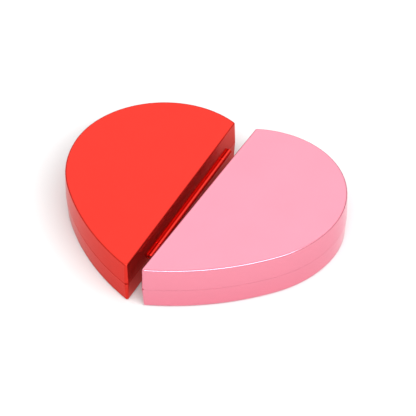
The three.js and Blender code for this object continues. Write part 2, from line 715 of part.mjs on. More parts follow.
function movement() {
  const group = new THREE.Group();
  placeMovement(group);
  const seat = -MOVEMENT_AT.z + BASE_BOTTOM + 1.6;
  const shank = PLATE.height - seat - 0.2;
  group.add(
    node("bedplate", bedplate(), STEEL),
    node("spring_housing", springHousing(), STEEL),
    node("mainspring", mainspring(), STEEL),
    node("winding_arbor", windingArbor(), STEEL),
    node("drive_wheel", driveWheel(), BRASS),
    node("cylinder_arbor", cylinderArbor(), BRASS),
    node("pinned_cylinder", pinnedCylinder(), BRASS),
    node("cylinder_wheel", cylinderWheel(), BRASS),
    node("cylinder_bearing_left", cylinderBearing(12.1), STEEL),
    node("cylinder_bearing_right", cylinderBearing(32.2), STEEL),
    node("comb", comb(), STEEL),
    node("governor_frame", governorFrame(), STEEL),
    node("governor_wheel", governorWheel(), BRASS),
    node("air_brake_fan", airBrakeFan(), BRASS),
    node("stop_plunger", stopPlunger(), STEEL),
    node("movement_cover", clearCover(), CLEAR),
    node("key_hub", keyHub(), BRASS),
    node("key_pin_left", keyPin(-1), STEEL),
    node("key_pin_right", keyPin(1), STEEL),
    node("key_grip", keyGrip(), BRASS),
    ...COMB_SCREWS.map(([x, y], i) =>
      node(`comb_screw_${i + 1}`, screw(x, y, CYLINDER_Z + 0.7, COMB_SCREW), STEEL),
    ),
    ...MOVEMENT_SCREWS.map(([x, y], i) =>
      node(`movement_screw_${i + 1}`, screw(x, y, seat, { ...CASE_SCREW, length: shank }), STEEL),
    ),
  );
  return group;
}

function redHalf() {
  const side = -1;
  const group = new THREE.Group();
  const [keyX, keyY] = inRedHalf(0, 0);
  const recessRoof = upright(keyX, keyY, RECESS_RADIUS + WALL, FLOOR - 0.5, RECESS_CEILING + 1.8, 48);
  const bosses = MOVEMENT_SCREWS.map(([x, y]) => {
    const [bx, by] = inRedHalf(x, y);
    return upright(bx, by, 4.2, FLOOR - 0.5, MOVEMENT_AT.z - 0.2, 20);
  });
  const screwHoles = MOVEMENT_SCREWS.flatMap(([x, y]) => {
    const [bx, by] = inRedHalf(x, y);
    return [
      upright(bx, by, SCREW_RADIUS + RUNNING_GAP, 0, 12, 16),
      upright(bx, by, 2.9, BASE_BOTTOM - 1, BASE_BOTTOM + 1.7, 20),
    ];
  });
  const cuts = [
    upright(keyX, keyY, RECESS_RADIUS, -1, RECESS_CEILING, 48),
    upright(keyX, keyY, ARBOR_RADIUS + 0.5, 0, 12),
    ...screwHoles,
    ...padRecesses(side),
  ];
  const [cx0, cy1] = inRedHalf(PLATE.x0, PLATE.y0);
  const [cx1, cy0] = inRedHalf(PLATE.x1, PLATE.y1);
  const trayHole = box(cx0 - 0.4, cx1 + 0.4, cy0 - 0.4, cy1 + 0.4, 0, 20);
  group.add(
    node("red_base_shell", baseShell(side, [recessRoof, ...bosses, catchPost(side)], cuts), RED),
    node("red_lid_shell", lidShell(side), RED),
    node("red_hinge_pin", hingePin(side), STEEL),
    node("red_lid_mirror", mirror(side), SILVER),
    node("red_lid_catch", lidCatch(side), STEEL),
    node("red_tray", tray(side, [pocket(side, 0, POCKET_SPLIT)], [trayHole]), VELVET),
    ...pads(side, "red"),
    movement(),
  );
  return group;
}

function pinkHalf() {
  const side = 1;
  const group = new THREE.Group();
  const pockets = [pocket(side, 0, POCKET_SPLIT), pocket(side, POCKET_SPLIT + 3, WALL_LENGTH + 10)];
  group.add(
    node("pink_base_shell", baseShell(side, [catchPost(side)], padRecesses(side)), PINK),
    node("pink_lid_shell", lidShell(side), PINK),
    node("pink_hinge_pin", hingePin(side), STEEL),
    node("pink_lid_mirror", mirror(side), SILVER),
    node("pink_lid_catch", lidCatch(side), STEEL),
    node("pink_tray", tray(side, pockets, []), CREAM),
    ...pads(side, "pink"),
    ...Array.from({ length: ROLL_COUNT }, (_, i) =>
      node(`ring_roll_${i + 1}`, ringRoll(side, ROLL_FIRST + i * ROLL_PITCH), CREAM),
    ),
  );
  return group;
}

const red = redHalf();
red.position.set(-GAP_AT_TIP / 2, 0, 0);
red.rotation.z = HALF_TURN;
const pink = pinkHalf();
pink.position.set(GAP_AT_TIP / 2, PINK_AHEAD, 0);
pink.rotation.z = -HALF_TURN;

// The origin is the middle of the two halves' outline, on the table.
const musicBox = new THREE.Group();
musicBox.add(red, pink);
const middle = new THREE.Box3().setFromObject(musicBox, true).getCenter(new THREE.Vector3());
musicBox.position.set(-middle.x, -middle.y, 0);

export default musicBox;
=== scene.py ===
# Wind-up music box in two half-heart cases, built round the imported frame. Metres, +Z up.
import json
import math
import random

import bmesh
import bpy
from mathutils import Matrix, Vector


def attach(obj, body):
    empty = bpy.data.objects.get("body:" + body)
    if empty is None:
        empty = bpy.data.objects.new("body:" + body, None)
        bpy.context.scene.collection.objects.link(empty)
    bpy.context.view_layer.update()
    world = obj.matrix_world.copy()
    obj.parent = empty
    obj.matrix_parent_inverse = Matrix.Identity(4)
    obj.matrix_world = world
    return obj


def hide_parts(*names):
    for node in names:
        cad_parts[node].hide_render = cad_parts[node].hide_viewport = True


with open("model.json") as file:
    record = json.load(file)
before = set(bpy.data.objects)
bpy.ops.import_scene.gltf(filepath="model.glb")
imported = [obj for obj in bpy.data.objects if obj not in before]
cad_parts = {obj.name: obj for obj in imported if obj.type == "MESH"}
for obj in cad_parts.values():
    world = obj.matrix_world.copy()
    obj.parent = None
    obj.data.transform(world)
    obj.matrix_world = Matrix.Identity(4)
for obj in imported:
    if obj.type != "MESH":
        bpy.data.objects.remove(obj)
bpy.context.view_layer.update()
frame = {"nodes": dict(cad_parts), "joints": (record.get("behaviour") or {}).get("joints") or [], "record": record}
MM = 0.001
rng = random.Random(7)

# ---------------------------------------------------------------- camera
AIM = Vector((-0.00025, 0.0209, 0.0))
AZIMUTH = math.radians(27.34)
ELEVATION = math.radians(41.74)
DISTANCE = 1.3162
ROLL = math.radians(-0.25)
LENS = 168.8


def add_camera():
    data = bpy.data.cameras.new("camera")
    data.lens = LENS
    data.sensor_width = 36
    data.clip_end = 20
    camera = bpy.data.objects.new("camera", data)
    bpy.context.scene.collection.objects.link(camera)
    flat = math.cos(ELEVATION)
    away = Vector((math.sin(AZIMUTH) * flat, -math.cos(AZIMUTH) * flat, math.sin(ELEVATION)))
    camera.location = AIM + away * DISTANCE
    turn = away.to_track_quat("Z", "Y")
    camera.rotation_euler = (turn.to_matrix().to_4x4() @ Matrix.Rotation(ROLL, 4, "Z")).to_euler()
    bpy.context.scene.camera = camera


add_camera()

# ---------------------------------------------------------------- the case, in millimetres
WALL_LENGTH = 160
LOBE_RADIUS = 64.2
SHOULDER_RADIUS = 80.5
CLEFT_HEADING = math.radians(24.2)
LOBE_SWEEP = math.radians(119.9)
SHOULDER_SWEEP = math.radians(34.6)
CORNER_RADIUS = 2
BASE_BOTTOM = 0.4
PARTING = 15.1
TOP = 31.6
WALL = 2
BASE_DRAFT = 0.8
LID_DRAFT = 0.4
TOP_ROUND = 1.3
BOTTOM_ROUND = 0.8
CEILING = 29.6
FLOOR = 2.4
HINGE_OUT = 0.8
KNUCKLE_RADIUS = 2
HINGE_BORE = 0.95
HINGE_START = 30
HINGE_END = 148
END_KNUCKLE = 12
KNUCKLE_GAP = 0.4
RUNNING_GAP = 0.3
HINGE_MIDDLE = 89  # the height along the wall where the record puts the hinge's point
LID, BASE = "lid", "base"
KNUCKLES = [
    (BASE, HINGE_START, HINGE_START + END_KNUCKLE - KNUCKLE_GAP / 2),
    (LID, HINGE_START + END_KNUCKLE + KNUCKLE_GAP / 2, HINGE_END - END_KNUCKLE - KNUCKLE_GAP / 2),
    (BASE, HINGE_END - END_KNUCKLE + KNUCKLE_GAP / 2, HINGE_END),
]


def polar(centre, radius, angle):
    return Vector((centre[0] + radius * math.cos(angle), centre[1] + radius * math.sin(angle)))


LOBE_CENTRE = polar((0, WALL_LENGTH), -LOBE_RADIUS, math.pi / 2 + CLEFT_HEADING)
LOBE_END = math.pi / 2 + CLEFT_HEADING - LOBE_SWEEP
SHOULDER_CENTRE = polar(LOBE_CENTRE, LOBE_RADIUS - SHOULDER_RADIUS, LOBE_END)
SHOULDER_END = LOBE_END - SHOULDER_SWEEP
FLANK_START = polar(SHOULDER_CENTRE, SHOULDER_RADIUS, SHOULDER_END)
FLANK_RADIUS = FLANK_START.length_squared / (2 * FLANK_START.dot(polar((0, 0), 1, SHOULDER_END)))
FLANK_CENTRE = polar(FLANK_START, -FLANK_RADIUS, SHOULDER_END)


def arc(centre, radius, start, end, steps):
    return [polar(centre, radius, start + (end - start) * i / steps) for i in range(steps + 1)]


def half_heart(side, inset):
    """The outline moved inwards by inset. Every inset gives the same number of points."""
    corner = max(0.3, CORNER_RADIUS - inset)
    reach = inset + corner
    lobe, flank = LOBE_RADIUS - reach, FLANK_RADIUS - reach
    cleft = Vector((reach, LOBE_CENTRE.y + math.sqrt(lobe**2 - (reach - LOBE_CENTRE.x) ** 2)))
    tip = Vector((reach, FLANK_CENTRE.y - math.sqrt(flank**2 - (reach - FLANK_CENTRE.x) ** 2)))
    cleft_angle = math.atan2(*(cleft - LOBE_CENTRE).yx)
    tip_angle = math.atan2(*(tip - FLANK_CENTRE).yx)
    points = arc(FLANK_CENTRE, FLANK_RADIUS - inset, tip_angle, SHOULDER_END, 24)
    points += arc(SHOULDER_CENTRE, SHOULDER_RADIUS - inset, SHOULDER_END, LOBE_END, 20)[1:]
    points += arc(LOBE_CENTRE, LOBE_RADIUS - inset, LOBE_END, cleft_angle, 72)[1:]
    points += arc(cleft, corner, cleft_angle, math.pi, 8)[1:]
    points += arc(tip, corner, math.pi, tip_angle + 2 * math.pi, 10)[:-1]
    return [Vector((side * p.x, p.y)) for p in points]


def round_edge(inset, z, radius, up, steps):
    """Levels round a quarter circle, from the wall at z to the flat face beyond it."""
    angles = [i / steps * math.pi / 2 for i in range(steps + 1)]
    return [(inset + radius * (1 - math.cos(a)), z + up * radius * math.sin(a)) for a in angles]


def new_object(name, bm):
    mesh = bpy.data.meshes.new(name)
    bm.to_mesh(mesh)
    bm.free()
    made = bpy.data.objects.new(name, mesh)
    bpy.context.scene.collection.objects.link(made)
    return made


def join_rings(bm, rings):
    """Skin a stack of rings and close both ends."""
    for low, high in zip(rings, rings[1:]):
        for i in range(len(low)):
            k = (i + 1) % len(low)
            bm.faces.new((low[i], low[k], high[k], high[i]))
    bm.faces.new(rings[0][::-1])
    bm.faces.new(rings[-1])
    bmesh.ops.recalc_face_normals(bm, faces=bm.faces)


def loft(name, side, levels):
    """A closed solid whose level at each height is the outline moved inwards."""
    bm = bmesh.new()
    rings = [[bm.verts.new((p.x, p.y, z)) for p in half_heart(side, inset)] for inset, z in levels]
    join_rings(bm, rings)
    return new_object(name, bm)


def turned(name, profile, steps=48, axis="Z", at=(0, 0, 0)):
    """A solid of revolution from (radius, height) pairs, both ends closed."""
    bm = bmesh.new()
    rings = []
    for radius, height in profile:
        ring = []
        for i in range(steps):
            a = 2 * math.pi * i / steps
            p = Vector((radius * math.cos(a), radius * math.sin(a), height))
            if axis == "Y":
                p = Vector((p.x, p.z, p.y))
            if axis == "X":
                p = Vector((p.z, p.x, p.y))
            ring.append(bm.verts.new(p + Vector(at)))
        rings.append(ring)
    join_rings(bm, rings)
    return new_object(name, bm)


def barrel(name, radius, start, end, x, chamfer=0.0):
    """A round bar along the hinge's line, its ends chamfered if asked."""
    levels = [(radius, start + chamfer), (radius, end - chamfer)]
    if chamfer:
        levels = [(radius - chamfer, start), *levels, (radius - chamfer, end)]
    return turned(name, levels, 48, "Y", (x, 0, PARTING))


def apply_modifiers(piece):
    bpy.context.view_layer.update()
    depsgraph = bpy.context.evaluated_depsgraph_get()
    mesh = bpy.data.meshes.new_from_object(piece.evaluated_get(depsgraph))
    old = piece.data
    piece.modifiers.clear()
    piece.data = mesh
    bpy.data.meshes.remove(old)


def combine(piece, tool, operation):
    modifier = piece.modifiers.new("combine", "BOOLEAN")
    modifier.operation = operation
    modifier.solver = "EXACT"
    modifier.object = tool
    apply_modifiers(piece)
    bpy.data.objects.remove(tool)


def merge_slivers(piece, nearer=0.02):
    """Merge the near-identical points that the cuts leave, before the edges are bevelled."""
    bm = bmesh.new()
    bm.from_mesh(piece.data)
    bmesh.ops.remove_doubles(bm, verts=bm.verts, dist=nearer)
    bmesh.ops.dissolve_degenerate(bm, edges=bm.edges, dist=nearer)
    bm.to_mesh(piece.data)
    bm.free()


def smooth(piece, angle=32):
    mesh = piece.data
    mesh.shade_smooth()
    mesh.set_sharp_from_angle(angle=math.radians(angle))
    modifier = piece.modifiers.new("flat_faces", "WEIGHTED_NORMAL")
    modifier.keep_sharp = True
    modifier.weight = 100


# Each half's own frame: the heart's tip at the origin, the straight wall along +Y.
def half_frame(joint_name, side):
    joint = next(j for j in frame["joints"] if j["name"] == joint_name)
    along = Vector(joint["axis"]) * -side
    across = Vector((along.y, -along.x, 0))
    origin = Vector(joint["pos_m"]) - along * HINGE_MIDDLE * MM + across * side * HINGE_OUT * MM
    origin.z = 0
    half = Matrix((across, along, Vector((0, 0, 1)))).transposed().to_4x4()
    half.translation = origin
    return half


RED, PINK = -1, 1
PARTING_GAP = {RED: 0.16, PINK: 0.05}
RIM_ROUND = {RED: 0.18, PINK: 0.06}
RIM_CHAMFER = 0.2
KNUCKLE_CHAMFER = 0.2
NICK_DEPTH = 2.2
NICK_LENGTH = 1.2
NICK_HALF_HEIGHT = 0.5
HALF = {RED: half_frame("red_lid_hinge", RED), PINK: half_frame("pink_lid_hinge", PINK)}


def place(piece, matrix):
    """Set a piece made in millimetres at its place, in metres."""
    piece.data.transform(matrix @ Matrix.Diagonal((MM, MM, MM, 1)))
    return piece


def shell(name, side, owner, levels, cuts=(), joins=()):
    """A base or a lid with its own hinge knuckles, and room for the other's."""
    piece = loft(name, side, levels)
    x = -side * HINGE_OUT
    for tool in joins:
        combine(piece, tool, "UNION")
    for who, start, end in KNUCKLES:
        if who != owner:
            reach = KNUCKLE_RADIUS + RUNNING_GAP
            tool = barrel("tool", reach, start - KNUCKLE_GAP, end + KNUCKLE_GAP, x)
            combine(piece, tool, "DIFFERENCE")
    for who, start, end in KNUCKLES:
        if who == owner:
            combine(piece, barrel("tool", KNUCKLE_RADIUS, start, end, x, KNUCKLE_CHAMFER), "UNION")
    bore = barrel("tool", HINGE_BORE, HINGE_START - 1, HINGE_END + 1, x)
    for tool in (bore, corner_notch(side), *cuts):
        combine(piece, tool, "DIFFERENCE")
    return piece


def corner_notch(side):
    """The nick in the parting line at the tip."""
    tip = min(half_heart(side, 0), key=lambda p: p.y)
    x0, x1 = sorted((side * -0.3, side * NICK_DEPTH))
    z0, z1 = PARTING - NICK_HALF_HEIGHT, PARTING + NICK_HALF_HEIGHT
    return brick("tool", x0, x1, tip.y - 1, tip.y + NICK_LENGTH, z0, z1)


def rim_levels(side, up):
    """The rim's inner and outer edges. up is 1 for the lid and -1 for the base."""
    gap, ease = PARTING_GAP[side], RIM_ROUND[side]
    rim = PARTING + up * gap / 2
    inside = [(WALL, rim + up * RIM_CHAMFER), (WALL - RIM_CHAMFER, rim)]
    return inside + [(ease, rim), (ease * 0.3, rim + up * ease * 0.3), (0, rim + up * ease)]


def lid_levels(side):
    top = round_edge(LID_DRAFT, TOP - TOP_ROUND, TOP_ROUND, 1, 7)
    return [(WALL, CEILING), *rim_levels(side, 1), *top]


def base_levels(side):
    bottom = round_edge(BASE_DRAFT, BASE_BOTTOM + BOTTOM_ROUND, BOTTOM_ROUND, -1, 5)
    return [(WALL, FLOOR), *rim_levels(side, -1), *bottom]


# ---------------------------------------------------------------- materials
def material(name, colour, rough, metallic=0.0, coat=0.0, coat_rough=0.05, spec=0.5, sheen=0.0):
    m = bpy.data.materials.new(name)
    m.use_nodes = True
    b = m.node_tree.nodes["Principled BSDF"]
    b.inputs["Base Color"].default_value = (*colour, 1)
    b.inputs["Roughness"].default_value = rough
    b.inputs["Metallic"].default_value = metallic
    b.inputs["Coat Weight"].default_value = coat
    b.inputs["Coat Roughness"].default_value = coat_rough
    b.inputs["Specular IOR Level"].default_value = spec
    b.inputs["Sheen Weight"].default_value = sheen
    return m


def link(m, output, target):
    m.node_tree.links.new(output, target)


def noise(m, scale, detail=2.0, stretch=None):
    nodes = m.node_tree.nodes
    texture = nodes.new("ShaderNodeTexNoise")
    texture.inputs["Scale"].default_value = scale
    texture.inputs["Detail"].default_value = detail
    coordinates = nodes.new("ShaderNodeTexCoord")
    if stretch:
        mapping = nodes.new("ShaderNodeMapping")
        mapping.inputs["Scale"].default_value = stretch
        link(m, coordinates.outputs["Object"], mapping.inputs["Vector"])
        link(m, mapping.outputs["Vector"], texture.inputs["Vector"])
    else:
        link(m, coordinates.outputs["Object"], texture.inputs["Vector"])
    return texture.outputs["Fac"]


def ramp(m, fac, target, low, high, start=0.3, end=0.7):
    r = m.node_tree.nodes.new("ShaderNodeValToRGB")
    for element, position, value in zip(r.color_ramp.elements, (start, end), (low, high)):
        element.position = position
        element.color = (*value, 1) if hasattr(value, "__len__") else (value, value, value, 1)
    link(m, fac, r.inputs["Fac"])
    link(m, r.outputs["Color"], target)


def bump(m, fac, strength, distance):
    nodes = m.node_tree.nodes
    b = nodes.new("ShaderNodeBump")
    b.inputs["Strength"].default_value = strength
    b.inputs["Distance"].default_value = distance
    link(m, fac, b.inputs["Height"])
    link(m, b.outputs["Normal"], nodes["Principled BSDF"].inputs["Normal"])


def lacquer(name, colour, rough, metallic, coat, edge):
    """Metallic lacquer: fine flake in the colour, a slight orange peel and a clear coat."""
    m = material(name, colour, rough, metallic, coat=coat, coat_rough=0.09)
    shader = m.node_tree.nodes["Principled BSDF"]
    shader.inputs["Specular Tint"].default_value = (*edge, 1)
    dark = tuple(c * 0.93 for c in colour)
    light = tuple(min(1, c * 1.05) for c in colour)
    ramp(m, noise(m, 2600, 2), shader.inputs["Base Color"], dark, light, 0.35, 0.65)
    ramp(m, noise(m, 35, 3), shader.inputs["Roughness"], rough - 0.02, rough + 0.03)
    bump(m, noise(m, 900, 2), 0.08, 0.00002)
    return m


def metal(name, colour, rough, stretch=(1, 30, 30)):
    """Ground or turned metal with a fine grain."""
    m = material(name, colour, rough, 1.0)
    shader = m.node_tree.nodes["Principled BSDF"]
    grain = noise(m, 120, 4, stretch)
    ramp(m, grain, shader.inputs["Roughness"], rough - 0.06, rough + 0.08)
    tint = noise(m, 90, 3)
    ramp(m, tint, shader.inputs["Base Color"], tuple(c * 0.88 for c in colour), colour)
    bump(m, grain, 0.15, 0.00001)
    return m


def velvet(name, colour, light):
    """Short pile: patches of nap lying different ways, and a sheen at the edges."""
    m = material(name, colour, 0.95, spec=0.1, sheen=0.8)
    shader = m.node_tree.nodes["Principled BSDF"]
    shader.inputs["Sheen Roughness"].default_value = 0.4
    ramp(m, noise(m, 60, 5), shader.inputs["Base Color"], colour, light, 0.3, 0.75)
    bump(m, noise(m, 1800, 3), 0.5, 0.00015)
    return m


RED_LACQUER = lacquer("red_lacquer", (0.62, 0.025, 0.015), 0.2, 0.9, 0.1, (1.0, 0.62, 0.6))
PINK_LACQUER = lacquer("pink_lacquer", (0.735, 0.235, 0.31), 0.22, 0.9, 0.28, (1.0, 0.85, 0.9))
STEEL = metal("steel", (0.46, 0.465, 0.48), 0.27)
BRASS = metal("brass", (0.80, 0.55, 0.20), 0.24)
MIRROR = metal("mirror", (0.92, 0.93, 0.94), 0.08, (1, 1, 1))
MIRROR.node_tree.nodes["Principled BSDF"].inputs["Specular IOR Level"].default_value = 0.8
RED_VELVET = velvet("red_velvet", (0.16, 0.006, 0.016), (0.27, 0.014, 0.03))
CREAM_VELVET = velvet("cream_velvet", (0.66, 0.50, 0.43), (0.84, 0.71, 0.63))
FELT = velvet("felt", (0.03, 0.03, 0.033), (0.07, 0.07, 0.075))
CLEAR = material("clear_cover", (0.95, 0.97, 0.98), 0.04)
CLEAR_INPUTS = CLEAR.node_tree.nodes["Principled BSDF"].inputs
CLEAR_INPUTS["Transmission Weight"].default_value = 1.0
CLEAR_INPUTS["IOR"].default_value = 1.49
ramp(CLEAR, noise(CLEAR, 40, 2), CLEAR_INPUTS["Roughness"], 0.03, 0.07)
BY_SLOT = {
    "red_lacquer": RED_LACQUER,
    "pink_lacquer": PINK_LACQUER,
    "steel": STEEL,
    "brass": BRASS,
    "mirror": MIRROR,
    "red_velvet": RED_VELVET,
    "cream_velvet": CREAM_VELVET,
    "felt": FELT,
    "clear_cover": CLEAR,
}
SLOT_OF = {entry["node"]: entry["material_slot"] for entry in frame["record"]["subparts"]}


def finish_piece(piece, slot, body, *replaced):
    """Give a piece its material, the body it rides and the nodes it replaces."""
    piece.data.materials.clear()
    piece.data.materials.append(BY_SLOT[slot])
    if replaced:
        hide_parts(*replaced)
    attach(piece, body)
    return piece


# ---------------------------------------------------------------- shells
MOVEMENT_AT = (34, 128, 8.6)  # from the straight wall, from the tip, above the table
RECESS_RADIUS = 19
RECESS_CEILING = 6.5
RECESS_ROOF = 1.8
ARBOR_RADIUS = 2
ARBOR_CLEARANCE = 0.5
SCREW_RADIUS = 1.25
SCREW_SINK_RADIUS = 2.9
SCREW_SINK_DEPTH = 1.7
BOSS_RADIUS = 4.2
BOSS_TOP = MOVEMENT_AT[2] - 0.2
BURIED = FLOOR - 0.5  # inside the floor, so that what stands on it joins
HOLE_TOP = 12  # above the bosses and the recess's roof
MOVEMENT_SCREWS = [(-13, -25), (26, 13), (43, -25)]
PAD_PLACES = [(9, 20), (9, 150), (66, 132), (66, 66)]
PAD_RADIUS = 5
PAD_THICKNESS = 1


def upright(x, y, radius, z0, z1, steps=64):
    """A round tool standing upright, to cut or to join."""
    return turned("tool", [(radius, z0), (radius, z1)], steps, "Z", (x, y, 0))


def in_red_half(x, y):
    """A place in the movement's own frame, in the red half's frame."""
    return (-MOVEMENT_AT[0] + y, MOVEMENT_AT[1] - x)


def pad_recesses(side):
    return [
        upright(side * u, v, PAD_RADIUS + RUNNING_GAP, BASE_BOTTOM - 1, PAD_THICKNESS + 0.1)
        for u, v in PAD_PLACES
    ]


def red_base_shell():
    """The red base, with the key's recess under it and the movement's bosses inside."""
    key = in_red_half(0, 0)
    screws = [in_red_half(x, y) for x, y in MOVEMENT_SCREWS]
    joins = [upright(*key, RECESS_RADIUS + WALL, BURIED, RECESS_CEILING + RECESS_ROOF, 96)]
    joins += [upright(*at, BOSS_RADIUS, BURIED, BOSS_TOP) for at in screws]
    sink = (BASE_BOTTOM - 1, BASE_BOTTOM + SCREW_SINK_DEPTH)
    cuts = [
        upright(*key, RECESS_RADIUS, -1, RECESS_CEILING, 96),
        upright(*key, ARBOR_RADIUS + ARBOR_CLEARANCE, 0, HOLE_TOP),
        *[upright(*at, SCREW_RADIUS + RUNNING_GAP, 0, HOLE_TOP) for at in screws],
        *[upright(*at, SCREW_SINK_RADIUS, *sink) for at in screws],
        *pad_recesses(RED),
    ]
    return shell("red_base_case", RED, BASE, base_levels(RED), cuts, joins)


CATCH_U = LOBE_CENTRE.x + LOBE_RADIUS - WALL
CATCH_V = LOBE_CENTRE.y
POST_OUTER = CATCH_U - 2
POST_THICKNESS = 2
POST_HALF_LENGTH = 5
POST_TOP = PARTING - 3.2
POST_EDGE = 0.3


def brick(name, x0, x1, y0, y1, z0, z1, rounding=0.0):
    bm = bmesh.new()
    bmesh.ops.create_cube(bm, size=1)
    for v in bm.verts:
        x = (x0 + x1) / 2 + v.co.x * (x1 - x0)
        y = (y0 + y1) / 2 + v.co.y * (y1 - y0)
        z = (z0 + z1) / 2 + v.co.z * (z1 - z0)
        v.co = Vector((x, y, z))
    if rounding:
        edges = bm.edges[:]
        bmesh.ops.bevel(bm, geom=edges, offset=rounding, segments=2, profile=0.5, affect="EDGES")
    return new_object(name, bm)


def catch_post(side):
    """The post in the base that the lid's catch stands beside when the lid is shut."""
    x0, x1 = sorted((side * (POST_OUTER - POST_THICKNESS), side * POST_OUTER))
    y0, y1 = CATCH_V - POST_HALF_LENGTH, CATCH_V + POST_HALF_LENGTH
    return brick("tool", x0, x1, y0, y1, BURIED, POST_TOP, POST_EDGE)


def build_shells():
    for side, colour in ((RED, "red"), (PINK, "pink")):
        if side == RED:
            base = red_base_shell()
        else:
            base = shell("pink_base_case", PINK, BASE, base_levels(PINK), pad_recesses(PINK))
        combine(base, catch_post(side), "UNION")
        lid = shell(f"{colour}_lid_case", side, LID, lid_levels(side))
        for piece, body, node in ((base, "half", "base_shell"), (lid, "lid", "lid_shell")):
            place(piece, HALF[side])
            smooth(piece)
            finish_piece(piece, f"{colour}_lacquer", f"{colour}_{body}", f"{colour}_{node}")


build_shells()

# ---------------------------------------------------------------- trays, mirrors, pads
TRAY_TOP = 14.1
TRAY_THICKNESS = 1.5
TRAY_INSET = 2.5
POCKET_INSET = 6
LINING_BOTTOM = FLOOR + 0.2
LINING_TOP = TRAY_TOP - 0.1  # inside the tray's sheet, so that the two join
POCKET_SPLIT = 62
POCKET_DIVIDER = 3
PAST_CLEFT = WALL_LENGTH + 10
LINING_LAP = 0.2  # neighbouring linings overlap by this much each, so that they join
MIRROR_INSET = 8
MIRROR_THICKNESS = 2
MIRROR_TOP = CEILING - 0.1
MIRROR_BEVEL = 1.6
MIRROR_BEVEL_HEIGHT = 0.5
PAD_EDGE = 0.35
EDGE = 0.4
PLATE = (-16, 47, -28, 16.5)  # the bedplate's X and Y in the movement's own frame
PLATE_CLEARANCE = 0.4
NOTCH_IN = 4.6
NOTCH_OUT = 3
NOTCH_HALF_LENGTH = 6
CUT_TOP = 20  # above the whole base, for cuts right through a tray


def slab(name, side, inset, z0, z1, rounding=0.0):
    """A flat plate to the outline moved inwards, its top edge rounded if asked."""
    if not rounding:
        return loft(name, side, [(inset, z0), (inset, z1)])
    return loft(name, side, [(inset, z0), *round_edge(inset, z1 - rounding, rounding, 1, 4)])


def pocket(side, start, end):
    """The lining that hangs below the tray's sheet, and the hollow inside it."""
    wall, reach = TRAY_THICKNESS, 200
    low, high = start - wall - LINING_LAP, end + wall + LINING_LAP
    lining = slab("lining", side, POCKET_INSET - wall, LINING_BOTTOM, LINING_TOP)
    combine(lining, brick("tool", -reach, reach, low, high, 0, PARTING), "INTERSECT")
    hollow = slab("hollow", side, POCKET_INSET, LINING_BOTTOM + wall, PARTING + 1)
    combine(hollow, brick("tool", -reach, reach, start, end, 0, PARTING + 2), "INTERSECT")
    return lining, hollow


def catch_notch(side):
    """The cut in the tray's edge that lets the catch and its post through."""
    x0, x1 = sorted((side * (CATCH_U - NOTCH_IN), side * (CATCH_U + NOTCH_OUT)))
    y0, y1 = CATCH_V - NOTCH_HALF_LENGTH, CATCH_V + NOTCH_HALF_LENGTH
    return brick("tool", x0, x1, y0, y1, 0, CUT_TOP)


def plate_hole():
    """The cut in the red tray that lets the movement through."""
    x0, x1, y0, y1 = PLATE
    (ax, ay), (bx, by) = in_red_half(x0, y0), in_red_half(x1, y1)
    u0, u1 = min(ax, bx) - PLATE_CLEARANCE, max(ax, bx) + PLATE_CLEARANCE
    v0, v1 = min(ay, by) - PLATE_CLEARANCE, max(ay, by) + PLATE_CLEARANCE
    return brick("tool", u0, u1, v0, v1, 0, CUT_TOP)


def tray(colour, side, spans, cuts):
    """A velvet tray: a flat sheet with a hollow lining below it for each pocket."""
    bottom = TRAY_TOP - TRAY_THICKNESS
    piece = slab(f"{colour}_tray_lining", side, TRAY_INSET, bottom, TRAY_TOP, EDGE)
    pockets = [pocket(side, *span) for span in spans]
    for lining, _ in pockets:
        combine(piece, lining, "UNION")
    for _, hollow in pockets:
        combine(piece, hollow, "DIFFERENCE")
    for tool in (catch_notch(side), *cuts):
        combine(piece, tool, "DIFFERENCE")
    merge_slivers(piece)
    bevel = piece.modifiers.new("soft_edges", "BEVEL")
    bevel.width = EDGE
    bevel.segments = 3
    bevel.limit_method = "ANGLE"
    bevel.angle_limit = math.radians(50)
    apply_modifiers(piece)
    place(piece, HALF[side])
    smooth(piece)
    slot = "red_velvet" if side == RED else "cream_velvet"
    return finish_piece(piece, slot, f"{colour}_half", f"{colour}_tray")


def mirror(colour, side):
    """The looking glass in the lid, with a bevelled rim."""
    low = MIRROR_TOP - MIRROR_THICKNESS
    rim = [(MIRROR_INSET + MIRROR_BEVEL, low), (MIRROR_INSET, low + MIRROR_BEVEL_HEIGHT)]
    glass = loft(f"{colour}_looking_glass", side, [*rim, (MIRROR_INSET, MIRROR_TOP)])
    place(glass, HALF[side])
    smooth(glass, 10)
    finish_piece(glass, "mirror", f"{colour}_lid", f"{colour}_lid_mirror")


def foot_pad(colour, side, number, u, v):
    """A felt disc with its lower edge rounded in two steps."""
    profile = [(PAD_RADIUS - PAD_EDGE, 0), (PAD_RADIUS - 0.1, 0.1)]
    profile += [(PAD_RADIUS, PAD_EDGE), (PAD_RADIUS, PAD_THICKNESS)]
    pad = turned(f"{colour}_foot_{number}", profile, 48, "Z", (side * u, v, 0))
    place(pad, HALF[side])
    smooth(pad)
    finish_piece(pad, "felt", f"{colour}_half", f"{colour}_pad_{number}")


def add_insides():
    tray("red", RED, [(0, POCKET_SPLIT)], [plate_hole()])
    tray("pink", PINK, [(0, POCKET_SPLIT), (POCKET_SPLIT + POCKET_DIVIDER, PAST_CLEFT)], [])
    for side, colour in ((RED, "red"), (PINK, "pink")):
        mirror(colour, side)
        for number, (u, v) in enumerate(PAD_PLACES, 1):
            foot_pad(colour, side, number, u, v)


add_insides()

# ---------------------------------------------------------------- ring rolls
ROLL_COUNT = 7
ROLL_VOXEL = 0.0012
ROLL_SHRINK = 0.0006
ROLL_CAP = 0.0009
SIMULATION_FRAMES = 20


